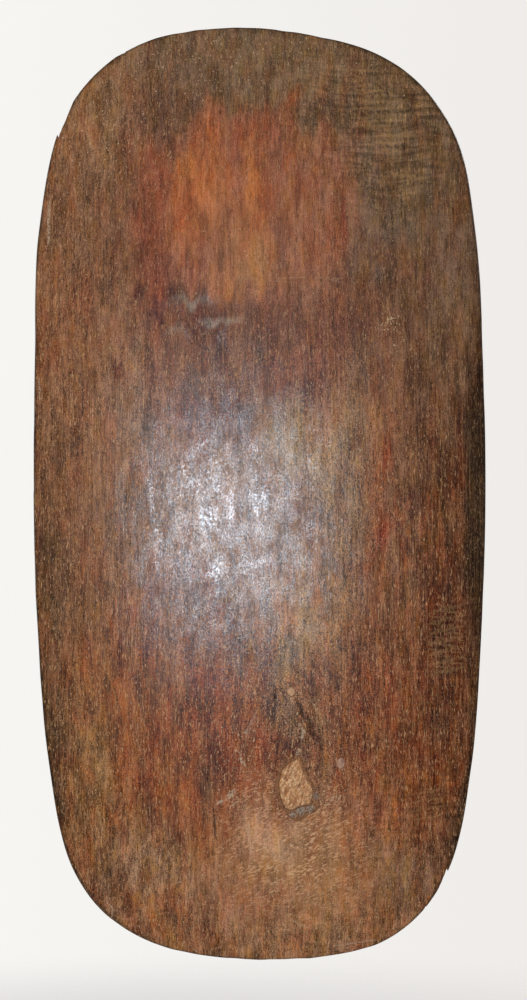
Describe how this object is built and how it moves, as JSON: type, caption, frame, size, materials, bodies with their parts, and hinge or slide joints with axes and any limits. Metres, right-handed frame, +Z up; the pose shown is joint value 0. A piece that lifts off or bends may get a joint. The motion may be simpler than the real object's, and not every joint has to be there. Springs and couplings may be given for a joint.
{
  "type": "wooden board shield",
  "caption": "Tall rounded oblong shield hewn from one bowed board, with pierced lugs carved on its hollow back and a pegged wooden bar to hold it by.",
  "frame": {"origin": "middle of the hand grip, on the bar's axis, half way between the lugs", "axes": "+Z up the board, -Y out of the face, +X to the right as the face is seen"},
  "size_m": [0.6342, 0.077, 1.2997],
  "materials": {
    "board": "hand-worn, dark glossy patina over red-brown hardwood",
    "grip": "whittled and polished by the hand",
    "peg": "whittled, matte",
    "knot": "raw, pale and fibrous",
    "bark": "dry grey bark and resin, crumbly",
    "plug": "raw, pale"
  },
  "bodies": {
    "root": {"board": "board", "grip_bar": "grip", "upper_grip_peg": "peg", "lower_grip_peg": "peg", "knot_heart": "knot", "knot_bark": "bark", "small_knot_plug": "plug", "pin_knot": "knot"}
  },
  "joints": []
}
